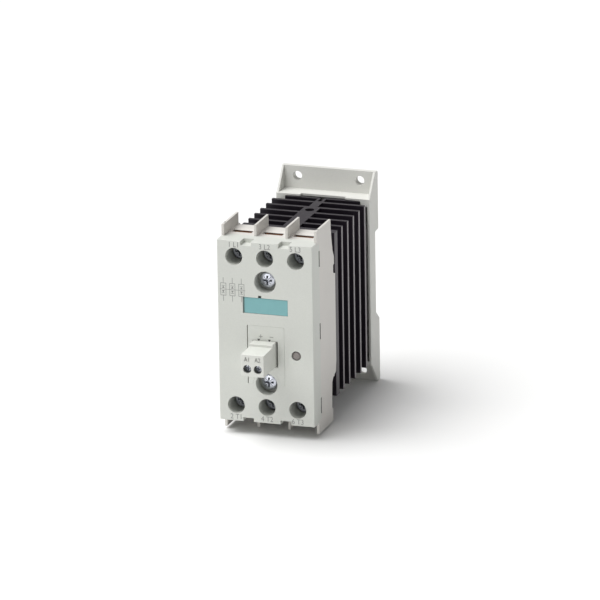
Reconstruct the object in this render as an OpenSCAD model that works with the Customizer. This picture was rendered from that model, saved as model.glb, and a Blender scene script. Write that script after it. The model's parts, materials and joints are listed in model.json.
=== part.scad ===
// Three-pole solid state relay module on a finned heatsink, with a plastic plate for rail or panel mounting.
// Millimetres, +Z up, the front faces -Y. The origin is the middle of the seat that lies on the mounting rail.

/* [Module] */
// Width of the module and of the mounting plate
body_w = 45; // [45:0.1:45.6]
// Height of the front face
face_h = 84.8; // [84.6:0.1:85.4]
// Height over the insulating barriers
barrier_h = 95.4; // [92:0.2:100]
// Depth from the front face to the heatsink
body_d = 32.3; // [32.3:0.1:32.6]
// Depth of the front cover
cover_d = 10; // [10:0.1:10.4]
// Depth of the housing behind the terminals
terminal_block_d = 25.4; // [25.2:0.1:26]
// Wall thickness of the moulded shells
wall = 1.8; // [1.6:0.1:1.9]
// Thickness of the insulating barriers
barrier_t = 1.2; // [1:0.1:1.4]
// How far the rail seat lies behind the front face
seat_to_front = 90.2; // [90.2:0.1:92]
// Height of the module's middle above the middle of the rail
module_z = -4; // [-4.1:0.1:-3.9]

/* [Main terminals] */
// Distance between neighbouring poles
pole_pitch = 14.6; // [14.5:0.05:14.7]
// Height of the terminal screws above and below the middle
terminal_z = 35; // [34.9:0.05:35.1]
// Diameter of the screwdriver holes
driver_hole_d = 8; // [7.9:0.05:8.1]
// Diameter of the terminal screw heads
terminal_head_d = 7; // [6.6:0.1:7]
// Depth of the screw heads below the front face
terminal_head_y = 8.6; // [8:0.1:8.8]
// Nominal diameter of the terminal screws
terminal_screw_d = 4; // [3.8:0.1:4]
// Width of the wire slots
wire_slot_w = 9.6; // [8:0.2:10]
// Front edge of the wire slots, measured from the front face
wire_slot_y = 13.6; // [13.5:0.05:13.7]
// Clear height of the wire slots
wire_slot_gap = 4.4; // [4.3:0.05:4.4]

/* [Module screws] */
// Height of the two module screws above and below the middle
module_screw_z = 24; // [23.8:0.1:24.1]
// Diameter of their wells in the front face
well_d = 10.2; // [9.8:0.1:10.4]
// Depth of the wells
well_depth = 6.1; // [6.1:0.05:6.3]

/* [Front face] */
// Width of the marking plate
label_w = 21; // [18:0.5:22]
// Height of the marking plate
label_h = 7.3; // [6:0.1:7.6]
// Diameter of the indicator lens
lens_d = 4.2; // [3.6:0.1:4.4]
// Width of the control insert
insert_w = 17; // [16.6:0.1:17.4]
// Height of the control insert
insert_h = 27; // [26.6:0.1:27.2]

/* [Control plug] */
// Width of the plug
plug_w = 10.9; // [10.7:0.05:11]
// Height of the plug's front part
plug_h = 10.3; // [10.2:0.05:10.4]
// How far the plug stands out of the front face
plug_reach = 17.2; // [17:0.1:18]
// Distance between the plug's two ways
plug_pitch = 5; // [4.95:0.05:5.05]

/* [Heatsink] */
// Height of the extrusion
sink_h = 77.2; // [76:0.1:77.4]
// Width over the fins
sink_w = 44.6; // [42:0.2:45]
// Thickness of the base plate
sink_base_t = 4.5; // [4:0.1:5]
// Number of full-width fins
fin_count = 5; // [3:1:5]
// Distance from one fin to the next
fin_pitch = 8.2; // [7.8:0.1:8.2]
// Thickness of a fin
fin_t = 1.9; // [1.6:0.1:2.2]

/* [Mounting plate] */
// Height of the mounting plate
plate_h = 100.2; // [99:0.2:102]
// Height of the plate's middle above the middle of the rail
plate_z = -2.7; // [-2.8:0.1:-2.6]
// Sideways distance between the panel holes
panel_hole_x = 30; // [28:0.5:31]
// Upright distance between the panel holes
panel_hole_z = 91; // [90:0.5:92]
// Diameter of the panel holes
panel_hole_d = 4.4; // [4.2:0.1:4.8]

/* [Hidden] */
$fn = 48;

over = 0.5;              // how far a cut runs past the face that it opens
half_w = body_w / 2;
half_h = face_h / 2;
in_w = half_w - wall;
in_h = half_h - wall;
poles = [-1, 0, 1];
ends = [-1, 1];

// Front cover
edge_chamfer = 0.2;
guide_t = 1;             // wall of the screwdriver guides
well_t = 1.2;            // wall of the wells
shoulder_t = 1.9;        // floor of the wells
clear_r = 2.3;           // clearance radius round the module screws
notch_x = 8.9;
notch_w = 5;
notch_z = 1.8;
notch_d = 5;
clip_z = [34, 0, -35];
clip_l = 7.6;
clip_gap = 1.2;
clip_depth = 0.9;
lens_pos = [14.3, -9.4];
label_z = 12.65;         // middle of the marking plate
label_t = 0.6;
label_pocket = 0.9;
pry_pos = [-2.6, 16.9];
pry_size = [1.4, 1.2];
insert_z = -10.4;        // middle of the insert
insert_gap = 0.2;
insert_gap_left = 0.4;
plug_x = -0.65;          // middle of the plug
plug_low = -15.2;        // underside of the plug
plug_step_z = 1.1;       // the rear part is this much taller
plug_step_y = -5;
plug_rear = 5.9;
socket_side = [0.3, 0.8];   // gap left and right of the plug
socket_gap = 0.35;
socket_depth = 6.1;

// Terminals, depths from the front face
head_t = 2.6;
clamp_y = terminal_head_y + head_t;
clamp_t = 2;
clamp_w = 9.6;
clamp_h = 9;
bar_y = wire_slot_y + wire_slot_gap;
bar_t = 1.6;
bar_w = 10.4;
bar_low = 29.6;
bar_high = 40.4;
collar_t = 3;
collar_r = 3.4;
tapped_gap = 0.05;       // radial room between a screw and its tapped hole
slot_shift = -1;         // the wire slots lie a little left of the screws
lip_low = 0.7;
lip_high = 0.4;
lip_slope = 2.2;
tab_high = 41.2;
tab_gap = 0.2;
partition_x = 7.4;
partition_low = 30.6;
barrier_front = 6.6;     // the barriers reach forward over the cover
partition_front = 9.4;
root_w = barrier_t - 0.1;
root_low = half_h - 1.15;
root_gap = 0.05;
column_r = 3.6;

// Power section, depths from the front face
foil_t = 0.2;
power_plate_t = 2.9;
ceramic_t = 1;
die_t = 0.4;
ceramic_y = body_d - foil_t - power_plate_t - ceramic_t;
ceramic_w = 11.6;
ceramic_h = 36;
power_plate_h = 39.6;
middle_h = 28;           // half height of the deep part of the housing

// Control board
board_y = 11.2;
board_t = 1.6;
board_h = 56;

// Heatsink, depths from the front face
sink_z = 1.05;
sink_back = 83;
fin_y = body_d + 10.1;
spine_w = 7.6;
spine_end = 68;
neck_w = 4.1;
channel_y = 63.6;
channel_d = 4.4;
rear_slot_w = 1.7;
rear_slot_y = 77.5;
rear_fin_w = 35.9;
rear_fin_t = 1.6;

// Mounting plate, in the frame of the rail seat
plate_back = 4.7;
flange_front = 1;
floor_t = 3;
side_t = 1.1;
recess_top = 19.2;
recess_low = -19.2;
recess_flare = 4;
step_t = 2.2;
shelf_z = [39, 38.5];     // lower and upper shelf, from the plate's middle to the side that faces the heatsink
shelf_t = 1;
tray_front = -8;
gusset_front = -7;
gusset_end = 1;
shelf_notch = -6.2;      // the shelf's front edge is set back in the middle
ledge_x = 10.8;
block_x = 18.1;
block_back = -6.8;
block_h = [1.1, 2.5];
end_cut = 1;
hook_x = [8, 18];
hook_front = 1.6;
hook_low = 16.2;
plate_screw_z = 11.5;
plate_screw_head_r = 2.9;
rail_gap = 0.3;

// Rail latch
latch_front = 1.7;
latch_lip = 3.1;
latch_back = 4.5;
latch_w = 18;
latch_neck_w = 14.6;
latch_tip = -15.9;
latch_end = -52.3;
window_low = -38;
window_high = -24;
window_w = 6;
spring_r = 0.9;
spring_wire_r = 0.2;
spring_turns = 8;
spring_low = -35.6;
spring_high = -24.1;
spring_y = 3;

module box(x, y, z) translate([x[0], y[0], z[0]]) cube([x[1] - x[0], y[1] - y[0], z[1] - z[0]]);
module along_y(y) translate([0, y, 0]) rotate([-90, 0, 0]) children();
module rod(r, y) along_y(y[0]) cylinder(r = r, h = y[1] - y[0]);
module yz_prism(x, points) translate([x[0], 0, 0]) rotate([90, 0, 90]) linear_extrude(x[1] - x[0]) polygon(points);
module at_module() translate([0, -seat_to_front, module_z]) children();
module both_sides() { children(); mirror([1, 0, 0]) children(); }
module both_ends() { children(); mirror([0, 0, 1]) children(); }
module at_poles() for (p = poles) translate([p * pole_pitch, 0, 0]) children();
module at_terminals() for (p = poles, e = ends) translate([p * pole_pitch, 0, e * terminal_z]) children();
module at_module_screws() for (e = ends) translate([0, 0, e * module_screw_z]) children();
module at_end(e) if (e > 0) children(); else mirror([0, 0, 1]) children();
module cross_recess(r, w, y) for (a = [0, 90]) along_y(y[0]) rotate(a)
    translate([-r, -w / 2, 0]) cube([2 * r, w, y[1] - y[0]]);

// ---- front cover ----

module cover_skin() difference() {
    yz_prism([-half_w, half_w], [
        [0, -half_h + edge_chamfer], [edge_chamfer, -half_h], [cover_d, -half_h],
        [cover_d, half_h], [edge_chamfer, half_h], [0, half_h - edge_chamfer]]);
    box([-in_w, in_w], [wall, cover_d + over], [-in_h, in_h]);
}

module cover_openings() {
    at_terminals() rod(driver_hole_d / 2, [-over, cover_d + over]);
    at_module_screws() {
        rod(well_d / 2, [-over, well_depth]);
        rod(clear_r, [0, cover_d]);
    }
    translate([lens_pos[0], 0, lens_pos[1]]) rod(lens_d / 2 + 0.1, [-over, wall + over]);
    box([-label_w / 2 - 0.2, label_w / 2 + 0.1], [-over, label_pocket], [label_z - label_h / 2 - 0.1, label_z + label_h / 2 + 0.1]);
    translate([pry_pos[0], 0, pry_pos[1]])
        box([-pry_size[0] / 2, pry_size[0] / 2], [-over, label_pocket], [-pry_size[1] / 2, pry_size[1] / 2]);
    both_ends() both_sides()
        box([notch_x - notch_w / 2, notch_x + notch_w / 2], [-over, notch_d], [half_h - notch_z, half_h + over]);
    for (z = clip_z) both_sides()
        box([half_w - clip_depth, half_w + over], [cover_d - clip_gap / 2, cover_d + over], [z - clip_l / 2, z + clip_l / 2]);
    // rooms for the roots of the barriers
    both_ends() {
        both_sides() box([half_w - barrier_t - root_gap, half_w + over],
            [barrier_front - root_gap, cover_d + over], [root_low - root_gap, half_h + over]);
        both_sides() box([partition_x - root_w / 2 - root_gap, partition_x + root_w / 2 + root_gap],
            [partition_front - root_gap, cover_d + over], [root_low - root_gap, half_h + over]);
    }
}

module front_cover() color([0.80, 0.81, 0.79]) at_module() difference() {
    union() {
        difference() {
            cover_skin();
            box([-insert_w / 2 - insert_gap_left, insert_w / 2 + insert_gap], [-over, wall + over],
                [insert_z - insert_h / 2 - insert_gap, insert_z + insert_h / 2 + insert_gap]);
        }
        at_terminals() rod(driver_hole_d / 2 + guide_t, [1, cover_d]);
        at_module_screws() rod(well_d / 2 + well_t, [0, well_depth + shoulder_t]);
        both_ends() both_sides()
            box([notch_x - notch_w / 2 - 0.8, notch_x + notch_w / 2 + 0.8], [1, notch_d + 1],
                [half_h - notch_z - 1.6, half_h - 0.1]);
        for (z = clip_z) both_sides()
            box([in_w - 0.9, in_w - 0.2], [wall, cover_d + 3.4], [z - 2.5, z + 2.5]);
        for (z = clip_z) both_sides()
            box([in_w - 0.6, in_w + 0.2], [wall, cover_d - 1.2], [z - 2.5, z + 2.5]);
    }
    cover_openings();
}

module control_insert() color([0.82, 0.83, 0.81]) at_module() {
    low = insert_z - insert_h / 2;
    high = insert_z + insert_h / 2;
    plug_left = plug_x - plug_w / 2 - socket_side[0];
    plug_right = plug_x + plug_w / 2 + socket_side[1];
    plug_top = plug_low + plug_h + plug_step_z;
    difference() {
        union() {
            box([-insert_w / 2, insert_w / 2], [0, wall + 0.2], [low, high]);
            box([-insert_w / 2 - 0.8, insert_w / 2 + 0.8], [wall + 0.1, wall + 1.2], [low - 0.7, high + 0.8]);
            box([plug_left - 1.2, plug_right + 1.2], [wall, socket_depth], [plug_low - 1.5, plug_top + 1.5]);
        }
        box([plug_left, plug_right], [-over, socket_depth + over], [plug_low - socket_gap, plug_top + socket_gap]);
        translate([0, 0, -module_screw_z]) rod(well_d / 2 + well_t + 0.2, [-over, socket_depth + over]);
    }
}

module marking_plate() color([0.51, 0.72, 0.72]) at_module()
    box([-label_w / 2, label_w / 2], [label_pocket - label_t, label_pocket], [label_z - label_h / 2, label_z + label_h / 2]);

module indicator_lens() color([0.55, 0.52, 0.50]) at_module() translate([lens_pos[0], 0, lens_pos[1]]) {
    rod(lens_d / 2, [0.1, wall + 0.2]);
    rod(lens_d / 2 + 0.6, [wall + 0.05, wall + 0.8]);
    rod(1.5, [wall + 0.8, 7.8]);
}

module indicator_led() color([0.9, 0.6, 0.2]) at_module() translate([lens_pos[0], 0, lens_pos[1]]) {
    rod(1.4, [8, 10.2]);
    rod(1.8, [10.2, board_y]);
}

// ---- control board and what stands on it ----

pin_x = [plug_x - plug_pitch / 2, plug_x + plug_pitch / 2];
pin_z = -8;
gate_x = -4.7;
gate_z = 3;

module control_board() color([0.13, 0.42, 0.24]) at_module() difference() {
    box([-19.4, 19.4], [board_y, board_y + board_t], [-board_h / 2, board_h / 2]);
    at_module_screws() rod(column_r + 0.3, [board_y - over, board_y + board_t + over]);
    for (x = pin_x) translate([x, 0, pin_z]) rod(0.75, [board_y - over, board_y + board_t + over]);
    at_poles() both_ends() translate([gate_x, 0, gate_z]) rod(0.5, [board_y - over, board_y + board_t + over]);
}

module control_header() color([0.12, 0.12, 0.13]) at_module() difference() {
    box([plug_x - 5, plug_x + 5], [socket_depth + 0.3, board_y], [-13.4, -4.6]);
    for (x = pin_x) translate([x, 0, pin_z]) rod(0.7, [5, board_y + over]);
}

module header_pins() color([0.85, 0.74, 0.42]) at_module()
    for (x = pin_x) translate([x, 0, pin_z]) rod(0.5, [0.8, board_y + 3]);

module trigger_couplers() color([0.93, 0.93, 0.9]) at_module() at_poles() {
    box([-3.2, 3.2], [board_y - 3.9, board_y - 0.5], [6, 14.6]);
    for (z = [7.8, 10.3, 12.8]) both_sides() box([3, 3.9], [board_y - 2.6, board_y], [z - 0.3, z + 0.3]);
}

module gate_resistors() color([0.35, 0.55, 0.75]) at_module() at_poles() for (x = [-2.5, 2.5])
    translate([x, board_y - 1.2, 15.8]) {
        cylinder(r = 1.1, h = 3.6);
        translate([0, 0, -0.7]) cylinder(r = 0.3, h = 5);
    }

module input_capacitor() color([0.15, 0.17, 0.3]) at_module() translate([-14.6, 0, -20]) rod(3.1, [3, board_y]);

module control_chip() color([0.1, 0.1, 0.11]) at_module() {
    box([9.6, 13.6], [board_y - 1.6, board_y - 0.2], [-24, -19]);
    for (z = [-23.4, -22.1, -20.8, -19.6]) for (x = [9.2, 13.4])
        box([x, x + 0.6], [board_y - 0.8, board_y], [z - 0.2, z + 0.2]);
}

// ---- housing ----

module housing_side() yz_prism([half_w - wall, half_w], [
    [cover_d, -half_h], [25.2, -half_h], [25.8, -28.9], [27.3, -27], [31.2, -25.6], [32.1, -20.4],
    [32.1, 20.8], [29.3, 21.8], [29.3, 25.4], [30.7, 25.8], [30.7, 29.3], [28.9, 32.6], [27.2, 39.6],
    [27, half_h], [cover_d, half_h]]);

module barrier(x, t, front, rear) box([x - t / 2, x + t / 2], [front, rear], [half_h - 1, barrier_h / 2]);

module housing_shell() difference() {
    union() {
        box([-half_w, half_w], [cover_d, terminal_block_d], [-half_h, half_h]);
        box([-half_w + 1, half_w - 1], [cover_d, body_d], [-middle_h, middle_h]);
        both_sides() housing_side();
    }
    box([-in_w, in_w], [cover_d - over, terminal_block_d - wall], [-in_h, in_h]);
    box([-in_w, in_w], [cover_d - over, body_d + over], [-middle_h + wall, middle_h - wall]);
}

module terminal_inside() {
    both_sides() box([partition_x - 0.6, partition_x + 0.6], [cover_d, terminal_block_d - 1], [partition_low, in_h + 1]);
    at_poles() both_sides() box([4.3, 5.5], [bar_y + bar_t, terminal_block_d - 1], [31, 40]);
    both_sides() box([in_w - 1, in_w + 1], [board_y + board_t, board_y + board_t + 2], [4, 26]);
}

// The slot's rear edge is a thin sloping lip over the end of the current bar
module wire_slots() at_poles() translate([slot_shift, 0, 0]) yz_prism([-wire_slot_w / 2, wire_slot_w / 2], [
    [wire_slot_y, in_h - over], [bar_y + bar_t, in_h - over], [bar_y + bar_t, half_h - lip_low],
    [bar_y, half_h - lip_low], [bar_y, half_h - lip_high], [bar_y + lip_slope, half_h + 0.1],
    [bar_y + lip_slope, half_h + over], [wire_slot_y, half_h + over]]);

module base_housing() color([0.78, 0.78, 0.76]) at_module() difference() {
    union() {
        housing_shell();
        both_ends() {
            terminal_inside();
            both_sides() barrier(half_w - barrier_t / 2, barrier_t, cover_d, 26.7);
            both_sides() barrier(partition_x, root_w, cover_d, terminal_block_d + 1);
            both_sides() box([half_w - barrier_t, half_w], [barrier_front, cover_d + 1], [root_low, barrier_h / 2]);
            both_sides() box([partition_x - root_w / 2, partition_x + root_w / 2],
                [partition_front, cover_d + 1], [root_low, barrier_h / 2]);
        }
        at_module_screws() rod(column_r, [well_depth + shoulder_t + 0.1, body_d]);
    }
    both_ends() wire_slots();
    at_module_screws() rod(clear_r, [0, body_d + over]);
    both_sides() box([in_w - over, half_w + over], [29.3, body_d + over], [21.8, 25.4]);
    for (z = clip_z) both_sides()
        box([half_w - clip_depth, half_w + over], [cover_d - over, cover_d + clip_gap / 2], [z - clip_l / 2, z + clip_l / 2]);
}

// ---- terminals ----

// One current bar: a tapped plate under the clamp and a leg down to the ceramic. The middle pole's leg passes
// beside the screw column.
module current_bar(pole, end) color([0.80, 0.50, 0.33]) at_module() at_end(end) translate([pole * pole_pitch, 0, 0]) {
    leg = pole == 0 ? [4.1, 6.7] : [-2, 2];
    tab_w = wire_slot_w - 2 * tab_gap;
    difference() {
        union() {
            box([-bar_w / 2, bar_w / 2], [bar_y, bar_y + bar_t], [bar_low, bar_high]);
            box([slot_shift - tab_w / 2, slot_shift + tab_w / 2], [bar_y, bar_y + bar_t], [bar_high - 0.2, tab_high]);
            translate([0, 0, terminal_z]) rod(collar_r, [bar_y + bar_t - 0.2, bar_y + bar_t + collar_t]);
        }
        translate([0, 0, terminal_z]) rod(terminal_screw_d / 2 + tapped_gap, [bar_y - over, bar_y + 6]);
    }
    if (pole == 0) box([-2, leg[1]], [bar_y, bar_y + bar_t], [28.2, 30.4]);
    box(leg, [bar_y, bar_y + bar_t], [15, bar_low + 0.4]);
    box(leg, [bar_y, ceramic_y], [15, 16.4]);
    box(pole == 0 ? [1.6, 5.6] : leg, [ceramic_y - 0.8, ceramic_y], [11.2, 16.4]);
}

module terminal_clamp(pole, end) color([0.72, 0.72, 0.70]) at_module()
    translate([pole * pole_pitch, 0, end * terminal_z]) difference() {
        box([-clamp_w / 2, clamp_w / 2], [clamp_y, clamp_y + clamp_t], [-clamp_h / 2, clamp_h / 2]);
        rod(terminal_screw_d / 2 + 0.1, [clamp_y - over, clamp_y + clamp_t + over]);
        both_sides() box([2.6, clamp_w / 2 - 0.9], [clamp_y + clamp_t - 0.5, clamp_y + clamp_t + over], [-clamp_h, clamp_h]);
    }

module terminal_screw(pole, end) color([0.80, 0.80, 0.80]) at_module()
    translate([pole * pole_pitch, 0, end * terminal_z]) difference() {
        union() {
            rod(terminal_head_d / 2, [terminal_head_y, clamp_y]);
            rod(terminal_screw_d / 2, [clamp_y - 0.1, bar_y + 1.8]);
        }
        cross_recess(2.3, 1.1, [terminal_head_y - over, terminal_head_y + 1.7]);
    }

// ---- power section ----

module ceramic(pole) color([0.94, 0.93, 0.90]) at_module() translate([pole * pole_pitch, 0, 0])
    box([-ceramic_w / 2, ceramic_w / 2], [ceramic_y, ceramic_y + ceramic_t], [-ceramic_h / 2, ceramic_h / 2]);

module thyristor_dies() color([0.35, 0.36, 0.40]) at_module() at_poles() both_ends()
    box([-3.4, 3.4], [ceramic_y - die_t, ceramic_y], [2, 9]);

module gate_pins() color([0.85, 0.74, 0.42]) at_module() at_poles() both_ends()
    translate([gate_x, 0, gate_z]) rod(0.4, [board_y - 0.6, ceramic_y]);

module power_plate() color([0.75, 0.52, 0.38]) at_module()
    box([-in_w + 0.3, in_w - 0.3], [ceramic_y + ceramic_t, body_d - foil_t], [-power_plate_h / 2, power_plate_h / 2]);

module thermal_foil() color([0.70, 0.70, 0.72]) at_module()
    box([-in_w + 0.3, in_w - 0.3], [body_d - foil_t, body_d], [-power_plate_h / 2, power_plate_h / 2]);

// ---- fixings of the module ----

washer_t = 0.8;
module_head_y = 3.3;

module spring_washers() color([0.62, 0.63, 0.65]) at_module() at_module_screws() difference() {
    rod(3.7, [well_depth - washer_t, well_depth]);
    rod(2.15, [well_depth - washer_t - over, well_depth + over]);
}

module module_screws() color([0.80, 0.80, 0.80]) at_module() at_module_screws() difference() {
    union() {
        rod(3.8, [module_head_y, well_depth - washer_t]);
        rod(2, [well_depth - washer_t - 0.1, body_d + 7]);
    }
    cross_recess(2.2, 1, [module_head_y - over, module_head_y + 1.4]);
}

// ---- heatsink ----

module sink_outline() difference() {
    union() {
        translate([-sink_w / 2, body_d]) square([sink_w, sink_base_t]);
        translate([-spine_w / 2, body_d + 1]) square([spine_w, spine_end - body_d - 1]);
        translate([-neck_w / 2, spine_end - 1]) square([neck_w, sink_back - spine_end + 1]);
        for (i = [0 : fin_count - 1]) translate([-sink_w / 2, fin_y + i * fin_pitch]) square([sink_w, fin_t]);
        translate([-rear_fin_w / 2, sink_back - rear_fin_t]) square([rear_fin_w, rear_fin_t]);
    }
    translate([0, channel_y]) circle(d = channel_d);
    translate([-rear_slot_w / 2, rear_slot_y]) square([rear_slot_w, sink_back - rear_slot_y + 1]);
}

module heatsink() color([0.11, 0.10, 0.12]) at_module() difference() {
    translate([0, 0, sink_z - sink_h / 2]) linear_extrude(sink_h) sink_outline();
    at_module_screws() rod(2 + tapped_gap, [body_d - over, body_d + 9]);
    for (z = [-plate_screw_z, plate_screw_z]) translate([0, 0, z - module_z]) rod(1.4, [sink_back - 9, sink_back + over]);
}

// ---- mounting plate, in the frame of the rail seat ----

sink_rear = sink_back - seat_to_front;
plate_top = plate_z + plate_h / 2;
plate_low = plate_z - plate_h / 2;
shelf_foot = plate_z - shelf_z[0] - shelf_t;
shelf_head = plate_z + shelf_z[1] + shelf_t;
inner_w = half_w - 1;    // reaches a little into the side walls

// One side wall with its two gussets, and the rail recess cut out of the rear edge
module plate_side() yz_prism([half_w - side_t, half_w], [
    [tray_front, shelf_foot], [gusset_front, shelf_foot], [gusset_end, plate_low],
    [plate_back - end_cut, plate_low], [plate_back, plate_low + end_cut],
    [plate_back, recess_low - recess_flare], [0, recess_low], [0, recess_top], [plate_back, recess_top + 0.3],
    [plate_back, plate_top - end_cut], [plate_back - end_cut, plate_top],
    [gusset_end, plate_top], [gusset_front, shelf_head], [tray_front, shelf_head]]);

// A shelf with the blocks in its corners, drawn upwards from the side that faces the heatsink
module plate_shelf(block) {
    box([-inner_w, inner_w], [shelf_notch, flange_front + 1], [0, shelf_t]);
    both_sides() box([ledge_x, inner_w], [tray_front, shelf_notch + 1], [0, shelf_t]);
    both_sides() box([block_x, inner_w], [tray_front, block_back], [-block, shelf_t]);
}

// The flange beyond a shelf, from the rail recess to the plate's end
module flange(from, to) {
    cut = to > from ? end_cut : -end_cut;
    yz_prism([-inner_w, inner_w], [[flange_front, from], [plate_back, from], [plate_back, to - cut],
        [plate_back - end_cut, to], [flange_front, to]]);
}

module mounting_plate() color([0.80, 0.80, 0.78]) difference() {
    union() {
        both_sides() plate_side();
        translate([0, 0, plate_z + shelf_z[1]]) plate_shelf(block_h[1]);
        translate([0, 0, plate_z - shelf_z[0]]) mirror([0, 0, 1]) plate_shelf(block_h[0]);
        flange(recess_top, plate_top);
        flange(recess_low - recess_flare, plate_low);
        box([-inner_w, inner_w], [-floor_t, 0], [recess_low - 1, recess_top + 1]);
        box([-inner_w, inner_w], [-floor_t, plate_back], [recess_top, recess_top + step_t]);
        yz_prism([-inner_w, inner_w], [
            [-floor_t, recess_low], [0, recess_low], [plate_back, recess_low - recess_flare],
            [plate_back, recess_low - recess_flare - 1], [-floor_t, recess_low - step_t - 1]]);
        both_sides() box(hook_x, [hook_front, plate_back], [hook_low, recess_top + 1]);
        for (z = [-plate_screw_z, plate_screw_z]) translate([0, 0, z]) rod(5, [sink_rear, -floor_t + 1]);
        box([-latch_w / 2 - 2, latch_w / 2 + 2], [-0.6, flange_front + 1], [plate_low, recess_low - 2]);
    }
    for (x = ends, z = ends) translate([x * panel_hole_x / 2, 0, plate_z + z * panel_hole_z / 2])
        rod(panel_hole_d / 2, [flange_front - 2, plate_back + over]);
    for (z = [-plate_screw_z, plate_screw_z]) translate([0, 0, z]) {
        rod(1.6, [sink_rear - over, 0]);
        rod(plate_screw_head_r + 0.3, [-2.5, over]);
    }
    // T-shaped channel of the latch, with a post left standing for its spring
    difference() {
        union() {
            box([-latch_w / 2 - rail_gap, latch_w / 2 + rail_gap], [latch_front - rail_gap, latch_lip + rail_gap],
                [plate_low - over, recess_low + 1]);
            box([-latch_neck_w / 2 - rail_gap, latch_neck_w / 2 + rail_gap], [latch_front, plate_back + over],
                [plate_low - over, recess_low + 1]);
        }
        box([-window_w / 2 + 0.4, window_w / 2 - 0.4], [0, latch_back - 0.3], [window_low + 0.3, window_low + 2.3]);
    }
}

module plate_screws() color([0.76, 0.76, 0.76]) for (z = [-plate_screw_z, plate_screw_z]) translate([0, 0, z])
    difference() {
        union() {
            rod(plate_screw_head_r, [-2.5, -0.3]);
            rod(1.3, [sink_rear - 8, -2.4]);
        }
        cross_recess(1.6, 0.8, [-1.4, over]);
    }

module rail_latch() color([0.70, 0.71, 0.72]) difference() {
    union() {
        box([-latch_w / 2, latch_w / 2], [latch_front, latch_lip], [latch_end + 6, recess_low - 4.6]);
        box([-latch_neck_w / 2, latch_neck_w / 2], [latch_lip - 0.2, latch_back], [latch_end, -21]);
        box([-latch_neck_w / 2, latch_neck_w / 2], [latch_front, latch_lip], [latch_end, -21]);
        yz_prism([-latch_neck_w / 2, latch_neck_w / 2], [
            [latch_front, -22], [latch_back, -22], [latch_back, -19.4], [latch_front + 0.9, latch_tip], [latch_front, latch_tip]]);
    }
    box([-window_w / 2, window_w / 2], [0, plate_back + over], [window_low, window_high]);
    box([-2.6, 2.6], [0, plate_back + over], [latch_end + 1.8, latch_end + 4]);
}

// Compression spring of the latch, swept as one tube
spring_steps = spring_turns * 12;
spring_sides = 6;
function spring_point(i, j) = let (
    turn = 360 * spring_turns * i / spring_steps,
    a = 360 * j / spring_sides,
    rise = (spring_high - spring_low - 2 * spring_wire_r) * i / spring_steps,
    r = spring_r + spring_wire_r * cos(a))
    [r * cos(turn), spring_y + r * sin(turn), spring_low + spring_wire_r + rise + spring_wire_r * sin(a)];
module latch_spring() color([0.65, 0.66, 0.68]) polyhedron(
    points = [for (i = [0 : spring_steps], j = [0 : spring_sides - 1]) spring_point(i, j)],
    faces = concat(
        [for (i = [0 : spring_steps - 1], j = [0 : spring_sides - 1]) let (k = (j + 1) % spring_sides)
            [i * spring_sides + j, i * spring_sides + k, (i + 1) * spring_sides + k, (i + 1) * spring_sides + j]],
        [[for (j = [spring_sides - 1 : -1 : 0]) j]],
        [[for (j = [0 : spring_sides - 1]) spring_steps * spring_sides + j]]));

// ---- control plug ----

plug_screw_z = -11.7;
plug_head_y = [-15.4, -13.4];
plug_clamp_t = 1;
plug_bar_y = -8.4;
plug_bar_t = 1.2;
chamber_w = 4.2;

module at_ways() for (x = pin_x) translate([x, 0, 0]) children();

module plug_housing() color([0.84, 0.85, 0.81]) at_module() difference() {
    union() {
        box([plug_x - plug_w / 2, plug_x + plug_w / 2], [-plug_reach, plug_rear], [plug_low, plug_low + plug_h]);
        box([plug_x - plug_w / 2, plug_x + plug_w / 2], [plug_step_y, plug_rear], [plug_low + 1, plug_low + plug_h + plug_step_z]);
    }
    at_ways() {
        translate([0, 0, plug_screw_z]) {
            rod(1.95, [-plug_reach - over, plug_head_y[1]]);
            rod(1.6, [plug_bar_y, 0]);
        }
        box([-chamber_w / 2, chamber_w / 2], [plug_head_y[1] - 0.3, plug_bar_y + plug_bar_t + 0.1], [plug_low + 0.8, -6.4]);
        box([-1.7, 1.7], [plug_bar_y, plug_rear + over], [-9.7, -6.3]);
        box([-1.8, 1.8], [plug_bar_y - 3.7, plug_bar_y - 0.3], [plug_low - over, plug_low + 1]);
    }
}

module plug_contacts() color([0.83, 0.74, 0.50]) at_module() at_ways() difference() {
    union() {
        box([-1.9, 1.9], [plug_bar_y, plug_bar_y + plug_bar_t], [plug_low + 1, -6.6]);
        box([-1.5, 1.5], [plug_bar_y + plug_bar_t - 0.1, plug_rear - 0.9], [-9.5, -6.5]);
    }
    translate([0, 0, plug_screw_z]) rod(1.25, [plug_bar_y - over, plug_bar_y + plug_bar_t + over]);
    box([-0.8, 0.8], [plug_bar_y + 3, plug_rear], [pin_z - 0.8, pin_z + 0.8]);
}

module plug_clamp(way) color([0.72, 0.72, 0.70]) at_module() translate([pin_x[way - 1], 0, plug_screw_z]) difference() {
    box([-1.8, 1.8], [plug_head_y[1], plug_head_y[1] + plug_clamp_t], [-2.3, 2.3]);
    rod(1.3, [plug_head_y[1] - over, plug_head_y[1] + plug_clamp_t + over]);
}

module plug_screw(way) color([0.80, 0.80, 0.80]) at_module() translate([pin_x[way - 1], 0, plug_screw_z]) difference() {
    union() {
        rod(1.8, plug_head_y);
        rod(1.2, [plug_head_y[1] - 0.1, -3.6]);
    }
    cross_recess(1.2, 0.6, [plug_head_y[0] - over, plug_head_y[0] + 1.2]);
}

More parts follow.
